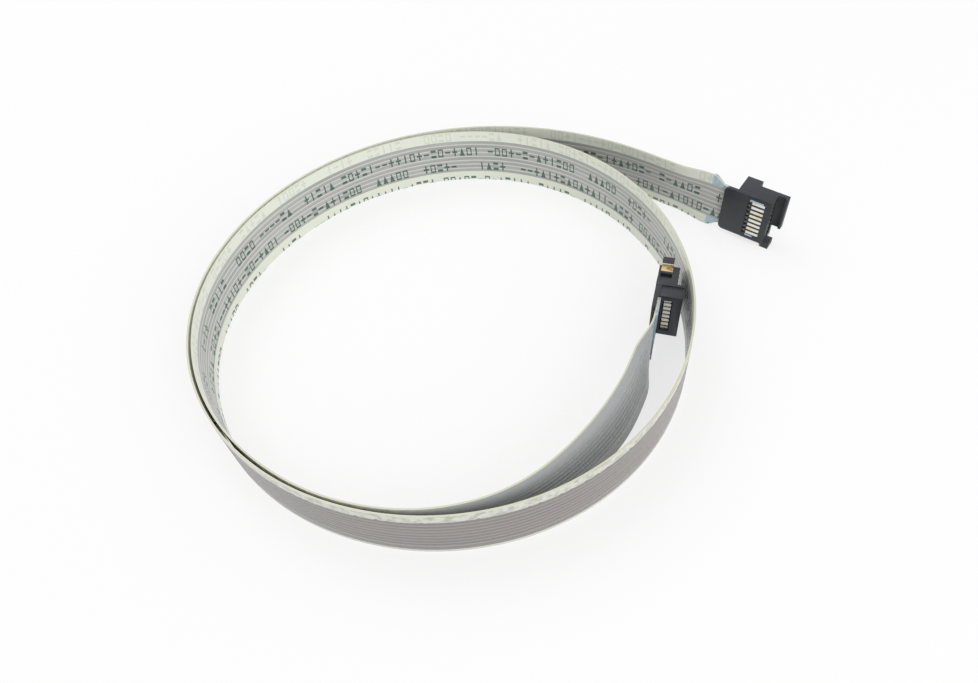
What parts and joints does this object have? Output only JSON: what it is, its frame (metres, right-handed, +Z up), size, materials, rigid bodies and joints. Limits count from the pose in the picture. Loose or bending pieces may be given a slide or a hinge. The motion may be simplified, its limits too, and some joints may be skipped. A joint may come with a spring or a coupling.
{
  "type": "ribbon cable",
  "caption": "Flat flexible ribbon cable coiled on edge, with a moulded connector with fork contacts at each end.",
  "frame": {"origin": "bottom centre of the whole cable's box, on the surface that it stands on", "axes": "+Z up, across the ribbon, +X towards the connector outside the loop"},
  "size_m": [0.1052, 0.0822, 0.012],
  "materials": {
    "ribbon_film": "clear satin polyester film, cream borders",
    "stiffening_tape": "light blue stiffening tape",
    "housing_plastic": "black moulded thermoplastic, satin",
    "contact_plating": "stamped copper alloy, bright plating",
    "spring_plating": "stamped spring strip, pale gold plating"
  },
  "bodies": {
    "root": {"ribbon": "ribbon_film", "stiffener_a": "stiffening_tape", "housing_a": "housing_plastic", "cover_a": "housing_plastic", "lock_spring_a": "spring_plating", "stiffener_b": "stiffening_tape", "housing_b": "housing_plastic", "cover_b": "housing_plastic", "lock_spring_b": "spring_plating", "contact_a1": "contact_plating", "contact_a2": "contact_plating", "contact_a3": "contact_plating", "contact_a4": "contact_plating", "contact_a5": "contact_plating", "contact_a6": "contact_plating", "contact_a7": "contact_plating", "contact_a8": "contact_plating", "contact_b1": "contact_plating", "contact_b2": "contact_plating", "contact_b3": "contact_plating", "contact_b4": "contact_plating", "contact_b5": "contact_plating", "contact_b6": "contact_plating", "contact_b7": "contact_plating", "contact_b8": "contact_plating"}
  },
  "joints": []
}
